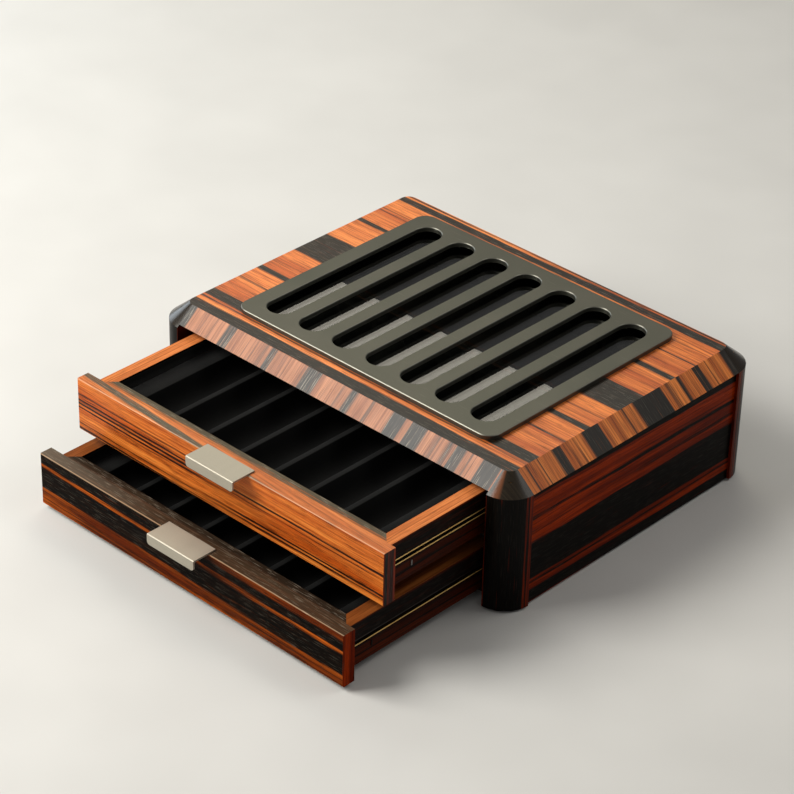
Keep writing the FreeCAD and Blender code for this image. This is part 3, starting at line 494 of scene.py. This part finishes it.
def lid_material():
    """The lid: its level leaf, bevels, corners and a painted highlight on its lower front arris, black
    where it is not seen.
    """
    g = Graph("lid_veneer", Specular_IOR_Level=0.35)
    reach_x = g.math("ABSOLUTE", g.x)
    reach_y = g.math("ABSOLUTE", g.y)
    drop = g.math("SUBTRACT", LID_TOP, g.z)
    front = leaf(g, drop, g.math("ADD", g.x, CASE_HALF_X), 2 * CASE_HALF_X,
                 BEVEL_FRONT, BEVEL_TONES, seed=21.0, wander=0.5, edge=1.1, flecks=1.0)
    flank = leaf(g, drop, g.math("ADD", g.y, CASE_HALF_Y), 2 * CASE_HALF_Y,
                 BEVEL_SIDE, FLANK_TONES, seed=33.0, wander=0.5, edge=1.0, flecks=0.15)
    whole = g.mix_leaves(g.step(reach_y, LID_FLAT_Y), lid_top(g), front)
    colour, pores, thread = g.mix_leaves(g.step(reach_x, LID_FLAT_X), whole, flank)

    past_x = g.math("SUBTRACT", reach_x, CORNER_X)
    past_y = g.math("SUBTRACT", reach_y, CORNER_Y)
    reach = g.math("SQRT", g.math("ADD", g.math("MULTIPLY", past_x, past_x),
                                  g.math("MULTIPLY", past_y, past_y)))
    in_corner = g.math("MULTIPLY", g.step(past_x, 0.0), g.step(past_y, 0.0))
    in_corner = g.math("MULTIPLY", in_corner, g.step(reach, CORNER_FLAT))

    # the corners are dark; those on the right have a brown sliver
    turn = g.math("ARCTAN2", past_x, past_y)
    sliver = g.math("MULTIPLY", g.step(turn, *SLIVER_START), g.inverse(g.step(turn, *SLIVER_END)))
    sliver = g.math("MULTIPLY", sliver, g.math("GREATER_THAN", g.x, 0.0))
    night = g.mix(g.span(thread, 0.40, 0.65), *CORNER_DARK)
    night = g.mix(g.math("MULTIPLY", sliver, 0.4), night, BEVEL_TONES[1])
    colour = g.mix(in_corner, colour, night)

    # a painted highlight along the lid's lower front arris
    lid_arris_highlight = g.inverse(g.step(g.z, HIGHLIGHT_UNDER_Z, 0.35))
    lid_arris_highlight = g.math("MULTIPLY", lid_arris_highlight, g.step(g.math("MULTIPLY", g.y, -1.0), HIGHLIGHT_PAST_Y))
    lid_arris_highlight = g.math("MULTIPLY", lid_arris_highlight, g.math("LESS_THAN", reach_x, HIGHLIGHT_HALF_X))
    colour = g.mix(g.math("MULTIPLY", lid_arris_highlight, 0.5), colour, ARRIS_HIGHLIGHT)

    under = g.math("MULTIPLY", g.math("LESS_THAN", g.z, UNDERSIDE_Z),
                   within(g, reach_x, reach_y, UNDERSIDE_HALF))
    hidden = g.math("MAXIMUM", within(g, reach_x, reach_y, WINDOW_HALF), under)
    colour = g.mix(hidden, colour, PLAIN_BLACK)
    return wood_finish(g, colour, g.blend(in_corner, pores, 0.0), g.blend(in_corner, thread, 0.5),
                       rough=g.blend(in_corner, 0.30, 0.14))


def panel_material(name, along, seed):
    """Level veneer on a case wall, striped by height, with a black inner face."""
    g = Graph(name, Specular_IOR_Level=0.04)
    from_top = g.math("SUBTRACT", PANEL_TOP, g.z)
    run, through, inner = {
        "x": (g.x, g.y, BACK_INNER_Y),
        "y": (g.y, g.math("ABSOLUTE", g.x), SIDE_INNER_X),
    }[along]
    colour, pores, thread = leaf(g, run, from_top, PANEL_LEAF, PANEL_BANDS_WITH_SHADOW, EBONY_TONES, seed,
                                 drift=-0.0105, wander=1.4, edge=1.0, lines=0.5, flecks=0.04)
    colour = g.mix(g.step(through, inner, 0.5), PLAIN_BLACK, colour)
    return wood_finish(g, colour, pores, thread, rough=0.28)


def post_material(name, seed):
    """Upright veneer bent round a corner post, its bands measured round the curve."""
    g = Graph(name, Specular_IOR_Level=0.06)
    round_x = g.math("SUBTRACT", g.math("ABSOLUTE", g.x), CORNER_X)
    round_y = g.math("SUBTRACT", g.math("ABSOLUTE", g.y), CORNER_Y)
    around = g.math("MULTIPLY", g.math("ARCTAN2", round_y, round_x), POST_RADIUS)
    colour, pores, thread = leaf(g, g.z, around, POST_LEAF, POST_BANDS, EBONY_TONES, seed,
                                 wander=0.5, lines=0.3, flecks=0.02)
    return wood_finish(g, colour, pores, thread, rough=0.24)


def arris(g, low, high):
    """1 along the top front edge of a piece."""
    near_top = g.step(g.z, high[2] / MM - ARRIS_WIDTH, 0.15)
    near_front = g.step(g.math("MULTIPLY", g.y, -1.0), -low[1] / MM - ARRIS_WIDTH, 0.15)
    return g.math("MULTIPLY", near_top, near_front)


def front_material(name, look, box):
    """A drawer front: its face, its top edge and its ends, each with its own leaf."""
    g = Graph(name, Specular_IOR_Level=look["gloss"])
    low, high = box
    seed = look["seed"]
    nx, _, nz = g.normal()
    from_top = g.math("SUBTRACT", high[2] / MM, g.z)
    left, right = (
        leaf(g, g.x, from_top, FRONT_LEAF, look[bands], look["tones"], seed, drift=drift,
             wander=look["wander"], edge=look["edge"], lines=0.9, flecks=look["flecks"])
        for bands, drift in (("bands", look["drift"]), ("patch", 0.0)))
    face = g.mix_leaves(g.span(g.x, *look["patch_from"]), left, right)
    depth = g.math("SUBTRACT", g.y, low[1] / MM)
    tone, pores, thread = leaf(g, g.x, g.math("ADD", depth, FRONT_TOP_START), FRONT_TOP_LEAF,
                               look["top_bands"], look["top_tones"], seed + 40,
                               drift=look["top_drift"], wander=0.8, edge=0.9)
    # a painted sheen on the left of the front's top edge
    pale = g.span(g.x, *PAINTED_SHEEN_SPAN, look["painted_sheen"], 0.0)
    top = (g.mix(pale, tone, PALE_FLECK_AND_SHEEN), pores, thread)
    end = leaf(g, g.z, depth, FRONT_END_LEAF, look["end_bands"], EBONY_TONES, seed + 60, wander=0.3,
               flecks=0.1)
    whole = g.mix_leaves(g.step(g.math("ABSOLUTE", nz), FACING), face, top)
    colour, pores, thread = g.mix_leaves(g.step(g.math("ABSOLUTE", nx), FACING), whole, end)
    # a painted highlight along the front's top front arris
    colour = g.mix(g.math("MULTIPLY", arris(g, low, high), 0.45), colour, ARRIS_HIGHLIGHT)
    return wood_finish(g, colour, pores, thread, rough=0.30)


def wall_material(name, along, top_tones, top_bands, seed, inner, top):
    """A drawer wall: an edge strip on top, veneer outside in tones darkened as painted shade, and a
    black face inside.
    """
    g = Graph(name, Specular_IOR_Level=0.05)
    reach_x = g.math("ABSOLUTE", g.x)
    run, across = (g.x, g.y) if along == "x" else (g.y, reach_x)
    nz = g.normal()[2]
    edge = leaf(g, run, g.math("ADD", across, WALL_EDGE_START), 2 * WALL_EDGE_START, top_bands,
                top_tones, seed, wander=0.6, lines=0.5)
    from_top = g.math("SUBTRACT", top / MM, g.z)
    face = leaf(g, run, from_top, WALL_LEAF, WALL_BANDS, SHADED_WALL_TONES, seed + 20, wander=0.8,
                flecks=0.05)
    colour, pores, thread = g.mix_leaves(g.step(nz, FACING), face, edge)
    half, front, back = inner
    past_y = g.math("MAXIMUM", g.math("SUBTRACT", front, g.y), g.math("SUBTRACT", g.y, back))
    past = g.math("MAXIMUM", past_y, g.math("SUBTRACT", reach_x, half))
    inside = g.math("MULTIPLY", g.math("LESS_THAN", past, 0.05), g.math("LESS_THAN", nz, 0.5))
    return wood_finish(g, g.mix(inside, colour, PLAIN_BLACK), pores, thread)


def board_material(name, along, tones, seed):
    """Straight-grained wood whose grain runs along one axis."""
    g = Graph(name, Specular_IOR_Level=0.25)
    run, across, third = {"x": (g.x, g.y, g.z), "y": (g.y, g.x, g.z), "z": (g.z, g.x, g.y)}[along]
    wood = leaf(g, run, g.math("ADD", across, third), None, (), tones, seed, wander=1.2, lines=0.4)
    return wood_finish(g, *wood, rough=0.36)


# ---------------------------------------------------------------- metal, glass, cloth

def plate_material():
    g = Graph("plate_satin", Metallic=0.85)
    grain = g.speckle(2.2, detail=3.0)
    broad = g.speckle(0.02, seed=4.0)
    colour = g.mix(g.span(g.both(grain, broad, 0.35, 0.65), 0.3, 0.7), *PLATE)
    scratch = g.noise(g.x, g.y, (0.05, 0.9), seed=8.0)
    colour = g.mix(g.span(scratch, 0.70, 0.78, 0.0, 0.25), colour, PLATE_SCRATCH)
    nz = g.normal()[2]
    # the chamfers of the plate carry a painted highlight
    bevel_highlight = g.math("MULTIPLY", g.step(nz, 0.45, 0.05), g.math("LESS_THAN", nz, 0.95))
    colour = g.mix(bevel_highlight, colour, PLATE_BEVEL_HIGHLIGHT)
    rough = g.math("MULTIPLY_ADD", grain, 0.14, 0.33)
    return g.finish(colour, rough, grain, depth=0.02, strength=0.35)


def handle_material():
    g = Graph("handle_satin", Metallic=0.7)
    mixed = g.both(g.speckle(3.0), g.noise(g.x, g.z, (0.05, 5.0), seed=5.0), 0.5, 0.5)
    colour = g.mix(g.span(mixed, 0.3, 0.7), *HANDLE)
    rough = g.math("MULTIPLY_ADD", mixed, 0.14, 0.46)
    return g.finish(colour, rough, mixed, depth=0.01, strength=0.3)


def drawn_metal(g, colour, draw, rough):
    """Drawn metal, whose gloss and relief follow the marks of drawing."""
    gloss = g.math("MULTIPLY_ADD", draw, 0.2, rough)
    return g.finish(colour, gloss, draw, depth=0.01, strength=0.3)


def metal_material(name, tones, rough):
    g = Graph(name, Metallic=1.0)
    draw = g.noise(g.y, g.z, DRAW_MARKS, seed=3.0)
    spots = g.speckle(0.25, detail=3.0)
    colour = g.mix(g.span(draw, 0.35, 0.65), *tones)
    colour = g.mix(g.span(spots, 0.58, 0.72, 0.0, 0.4), colour, tones[0])
    return drawn_metal(g, colour, draw, rough)


def channel_material(name, bright_below):
    """Drawn brass, bright on the lips below a height, with painted shade above it and inside the
    channel.
    """
    g = Graph(name, Metallic=0.4, Specular_IOR_Level=0.5)
    nx = g.normal()[0]
    draw = g.noise(g.y, g.z, DRAW_MARKS, seed=3.0)
    bright, shaded = (g.mix(g.span(draw, 0.35, 0.65), *tones) for tones in (BRIGHT_BRASS, SHADED_BRASS))
    lip = g.math("MULTIPLY", g.step(g.math("ABSOLUTE", nx), FACING),
                 g.step(g.math("ABSOLUTE", g.x), LIP_FROM_X, 0.2))
    lip = g.math("MULTIPLY", lip, g.math("LESS_THAN", g.z, bright_below))
    return drawn_metal(g, g.mix(lip, shaded, bright), draw, rough=0.3)


def glass_material():
    g = Graph("window_glass", Transmission_Weight=1.0, IOR=1.58, Roughness=0.0)
    return g.finish(g.mix(g.span(g.speckle(0.9), 0.4, 0.7), *GLASS))


def felt_material(name, tones):
    g = Graph(name, Sheen_Weight=0.08, Sheen_Roughness=0.5, Specular_IOR_Level=0.08)
    nap = g.speckle(3.5, detail=3.0)
    lay = g.speckle(0.06, seed=7.0)
    colour = g.mix(g.span(g.both(nap, lay, 0.6, 0.4), 0.35, 0.65), *tones)
    return g.finish(colour, g.math("MULTIPLY_ADD", nap, 0.1, 0.86), nap, depth=0.12, strength=0.7)


# ---------------------------------------------------------------- pieces

def new_piece(name, mesh_data, material, body):
    """A piece of the scene's own, riding on a body."""
    piece = bpy.data.objects.new(name, mesh_data)
    bpy.context.collection.objects.link(piece)
    piece.data.materials.append(material)
    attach(piece, body)
    return piece


def mesh_from(name, points, faces, smooth=True):
    """A mesh whose faces all look outwards."""
    data = bpy.data.meshes.new(name)
    data.from_pydata(points, [], faces)
    data.validate()
    edit = bmesh.new()
    edit.from_mesh(data)
    bmesh.ops.recalc_face_normals(edit, faces=edit.faces)
    edit.to_mesh(data)
    edit.free()
    if smooth:
        for face in data.polygons:
            face.use_smooth = True
    return data


def arc(x, y, radius, degrees):
    """Points on a circle round (x, y), at the given angles."""
    turns = [math.radians(angle) for angle in degrees]
    return [(x + radius * math.cos(turn), y + radius * math.sin(turn)) for turn in turns]


def ring_faces(rings, count, closed=False):
    """Quads between rings of count points; closed joins the last ring to the first."""
    faces = []
    for ring in range(rings if closed else rings - 1):
        first, second = ring * count, (ring + 1) % rings * count
        for index in range(count):
            after = (index + 1) % count
            faces.append((first + index, first + after, second + after, second + index))
    return faces


def channel_profile(half, crest, inset):
    """The section of a lined tray, left to right, at an inset under the nap; crest is its top."""
    radius = CHANNEL_RADIUS + inset
    crown = LINING - inset
    centre_z = crest - LINING
    points = [(-half, crest - inset)]
    for row in range(PEN_ROWS):
        centre = (row - (PEN_ROWS - 1) / 2) * PEN_PITCH
        points += arc(centre - CHANNEL_RADIUS - LINING, centre_z, crown,
                      [90 - CROWN_STEP * step for step in range(4)])
        points += arc(centre, centre_z, radius,
                      [180 + 180 * step / CHANNEL_STEPS for step in range(CHANNEL_STEPS + 1)])
        points += arc(centre + CHANNEL_RADIUS + LINING, centre_z, crown,
                      [180 - CROWN_STEP * step for step in range(1, 5)])
    return points + [(half, crest - inset)]


def build_tray_lining(drawer, material, facing):
    """The cloth glued into a tray's seven channels. Facing, the cloth round the walls, is not used."""
    node = f"{drawer}_tray_lining"
    low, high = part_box(node)
    upper = channel_profile(high[0], high[2], 0.0)
    under = channel_profile(high[0], high[2], LINING * 0.98)
    loop = upper + under[::-1]
    points = []
    for cut in range(CUTS_ALONG + 1):
        y = low[1] + (high[1] - low[1]) * (cut / CUTS_ALONG)
        for index, (x, z) in enumerate(loop):
            napped = index < len(upper) and 0 < cut < CUTS_ALONG
            nap = NAP_DEPTH * math.sin(x * NAP_WAVES[0] + y * NAP_WAVES[1]) if napped else 0.0
            points.append((x, y, z - abs(nap)))
    count = len(loop)
    faces = ring_faces(CUTS_ALONG + 1, count)
    for first in (0, CUTS_ALONG * count):
        last = first + count - 1
        faces += [(first + index, first + index + 1, last - 1 - index, last - index)
                  for index in range(len(upper) - 1)]
    piece = new_piece(f"{drawer}_pen_bed", mesh_from(node, points, faces), material,
                      f"{drawer}_drawer")
    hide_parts(node)


def ring_points(half_x, low_y, high_y, radius, turns=6):
    """A rectangle with round corners, anticlockwise from its rear right corner."""
    right, left = half_x - radius, radius - half_x
    rear, front = high_y - radius, low_y + radius
    points = []
    for x, y, start in ((right, rear, 0), (left, rear, 90), (left, front, 180), (right, front, 270)):
        points += arc(x, y, radius, [start + 90 * step / turns for step in range(turns + 1)])
    return points


def stack(rows):
    """Points of flat rings, each at its own height."""
    return [(x, y, z) for ring, z in rows for x, y in ring]


def build_wall_lining(drawer, material):
    """The cloth band round the inside of a drawer box, its top edge rounded over."""
    node = f"{drawer}_wall_lining"
    low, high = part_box(node)
    outer = ring_points(high[0], low[1], high[1], WALL_CLOTH_CORNER)
    inner = ring_points(high[0] - LINING, low[1] + LINING, high[1] - LINING, CLOTH_EDGE)
    middle = [((a[0] + b[0]) / 2, (a[1] + b[1]) / 2) for a, b in zip(outer, inner)]
    bottom, shoulder = low[2], high[2] - CLOTH_EDGE
    rows = [(outer, bottom), (outer, shoulder), (middle, high[2]), (inner, shoulder), (inner, bottom)]
    faces = ring_faces(len(rows), len(outer), closed=True)
    piece = new_piece(f"{drawer}_wall_cloth", mesh_from(node, stack(rows), faces), material,
                      f"{drawer}_drawer")
    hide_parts(node)
    return piece


def build_base_felt(material):
    """The felt sheet under the case, its rim slightly thinned."""
    low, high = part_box("base_felt")
    outer = ring_points(high[0], low[1], high[1], BASE_FELT_CORNER, 10)
    inner = ring_points(high[0] - BASE_FELT_RIM, low[1] + BASE_FELT_RIM, high[1] - BASE_FELT_RIM,
                        BASE_FELT_CORNER - BASE_FELT_RIM, 10)
    rows = [(inner, high[2]), (outer, high[2] - BASE_FELT_EDGE), (outer, low[2] + BASE_FELT_EDGE),
            (inner, low[2])]
    count = len(outer)
    caps = [tuple(range(ring * count, (ring + 1) * count)) for ring in (0, len(rows) - 1)]
    felt = mesh_from("under_felt", stack(rows), caps + ring_faces(len(rows), count), smooth=False)
    piece = new_piece("under_felt", felt, material, "case")
    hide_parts("base_felt")


def dress(material, *names):
    """Gives CAD nodes one material in every slot they have."""
    for name in names:
        data = nodes[name].data
        if not data.materials:
            data.materials.append(material)
        for index in range(len(data.materials)):
            data.materials[index] = material


def dress_case():
    dress(lid_material(), "lid_panel")
    dress(glass_material(), "window_glass")
    dress(plate_material(), "slot_plate")
    for side, seed in (("left", 57.0), ("right", 50.0)):
        dress(panel_material(f"side_veneer_{side}", "y", seed), f"side_panel_{side}")
    dress(panel_material("back_veneer", "x", 63.0), "back_panel")
    dress(post_material("post_veneer", 70.0),
          "front_left_post", "front_right_post", "rear_left_post", "rear_right_post")
    dress(board_material("inner_board", "x", STAINED_TONES, 80.0), "base_panel", "divider_panel")
    dress(board_material("runner_wood", "y", STAINED_TONES, 84.0),
          *[name for name in nodes if name.endswith("_batten")])
    dress(board_material("dowel_beech", "z", BEECH_TONES, 88.0), "lid_dowels")
    dress(board_material("cleat_wood", "x", STAINED_TONES, 91.0),
          "drawer_buffers", "upper_stop_cleats", "lower_stop_cleats")
    dress(metal_material("runner_steel_drawn", STEEL, 0.25), "runner_screws", "plate_studs",
          *[name for name in nodes if name.endswith(("_bar", "_tabs"))])
    # the lower drawer's catch tabs are darkened as painted shade
    dress(metal_material("catch_steel_shaded", SHADED_STEEL, 0.30), "lower_catch_tabs")


def bright_lips(drawer):
    """The height in mm under which brass lips are bright: the upper drawer's two, the lower's one,
    whose upper lip carries painted shade.
    """
    low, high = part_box(f"{drawer}_channel_left")
    return {"upper": high[2] / MM + LIP_MARGIN, "lower": (low[2] + high[2]) / 2 / MM}[drawer]


def dress_drawers():
    handle = handle_material()
    for drawer, look in DRAWER_LOOKS.items():
        front = front_material(f"{drawer}_front_veneer", look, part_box(f"{drawer}_front"))
        brass = channel_material(f"{drawer}_channel_brass", bright_lips(drawer))
        dress(front, f"{drawer}_front")
        dress(brass, f"{drawer}_channel_left", f"{drawer}_channel_right")
        dress(handle, f"{drawer}_handle")

        # the box walls: their inner faces lie behind the lining and between the two cross boards
        low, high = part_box(f"{drawer}_box_front")
        inner = (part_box(f"{drawer}_wall_lining")[1][0] / MM, high[1] / MM,
                 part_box(f"{drawer}_box_back")[0][1] / MM)
        middle = WALL_EDGE_START + (low[1] + high[1]) / 2 / MM
        rear = WALL_EDGE_START + inner[2]
        backing = (rear + BACKING_BAND[0], rear + BACKING_BAND[1])
        # kind, axis of the grain, tones and bands of the top edge, what is added to the seed, boards
        walls = (
            ("facing", "x", look["top_tones"], [(middle, middle + FACING_BAND)], 5, ["box_front"]),
            # the top edge of the box's back takes tones darkened as painted shade
            ("backing", "x", SHADED_REAR_TONES, [backing], 5, ["box_back"]),
            # the lower drawer's side tops take tones darkened as painted shade
            ("along", "y", look["side_tones"], (), 9, ["side_left", "side_right"]),
        )
        for kind, along, tones, bands, further, boards in walls:
            wall = wall_material(f"{drawer}_box_{kind}", along, tones, bands, look["seed"] + further,
                                 inner, high[2])
            dress(wall, *[f"{drawer}_{board}" for board in boards])
    dress(board_material("tray_board_grain", "x", STAINED_TONES, 95.0),
          "upper_bottom", "upper_tray", "lower_bottom", "lower_tray")


def build_linings():
    bed = felt_material("pen_bed_cloth", PEN_BED_CLOTH)
    under = felt_material("under_felt_cloth", UNDER_FELT_CLOTH)
    for drawer in DRAWER_LOOKS:
        build_tray_lining(drawer, bed, build_wall_lining(drawer, bed))
    build_base_felt(under)


# ---------------------------------------------------------------- stage

def build_floor():
    g = Graph("floor_paper", Roughness=0.9, Specular_IOR_Level=0.2)
    material = g.finish(g.mix(g.span(g.speckle(0.01), 0.3, 0.7), *FLOOR))
    data = bpy.data.meshes.new("floor")
    corners = [(FLOOR_HALF * x, FLOOR_HALF * y, 0) for x, y in ((-1, -1), (1, -1), (1, 1), (-1, 1))]
    data.from_pydata(corners, [], [(0, 1, 2, 3)])
    floor = bpy.data.objects.new("floor", data)
    bpy.context.collection.objects.link(floor)
    data.materials.append(material)


def matrix_of(right, up, back, place):
    """The matrix that turns an object's axes to three vectors and moves it to a place."""
    return Matrix([*zip(right, up, back, place), (0, 0, 0, 1)])


def aimed(at, towards):
    """The matrix of a lamp at one point that shines towards another."""
    direction = Vector(towards) - Vector(at)
    turn = direction.to_track_quat("-Z", "Y").to_matrix().to_4x4()
    return Matrix.Translation(at) @ turn


def leaning(edge, tilt, height):
    """The matrix of a softbox that leans forward, the middle of its bottom edge at a point."""
    lean = math.radians(tilt)
    across = Vector((-1.0, 0.0, 0.0))
    rise = Vector((0.0, -math.sin(lean), math.cos(lean)))
    return matrix_of(across, rise, across.cross(rise), Vector(edge) + rise * (height / 2))


def build_lights():
    for name, box in SOFTBOXES.items():
        data = bpy.data.lights.new(name, "AREA")
        data.shape = "RECTANGLE"
        data.size, data.size_y = box["size"]
        data.energy = box["power"]
        data.color = box.get("colour", LAMP_COLOUR)
        lamp = bpy.data.objects.new(name, data)
        bpy.context.collection.objects.link(lamp)
        if "aim" in box:
            lamp.matrix_world = aimed(box["at"], box["aim"])
        else:
            lamp.matrix_world = leaning(box["edge"], box["tilt"], box["size"][1])
    world = bpy.data.worlds.new("studio")
    bpy.context.scene.world = world
    world.use_nodes = True
    sky = world.node_tree.nodes["Background"]
    sky.inputs["Color"].default_value = WORLD_COLOUR
    sky.inputs["Strength"].default_value = WORLD_LEVEL


def build_camera():
    azimuth = math.radians(CAMERA_AZIMUTH)
    elevation = math.radians(CAMERA_ELEVATION)
    roll = math.radians(CAMERA_ROLL)
    level = math.cos(elevation)
    back = Vector((math.sin(azimuth) * level, -math.cos(azimuth) * level, math.sin(elevation)))
    right = Vector((math.cos(azimuth), math.sin(azimuth), 0.0))
    up = back.cross(right)
    turned_right = right * math.cos(roll) + up * math.sin(roll)
    turned_up = up * math.cos(roll) - right * math.sin(roll)
    data = bpy.data.cameras.new("camera")
    data.lens = CAMERA_LENS
    data.sensor_width = CAMERA_SENSOR
    data.sensor_fit = "HORIZONTAL"
    data.clip_end = CAMERA_REACH
    camera = bpy.data.objects.new("camera", data)
    bpy.context.collection.objects.link(camera)
    camera.matrix_world = matrix_of(turned_right, turned_up, back, CAMERA_AT)
    bpy.context.scene.camera = camera


build_camera()
build_floor()
build_lights()
dress_case()
dress_drawers()
build_linings()
bpy.context.scene.view_settings.view_transform = "Standard"
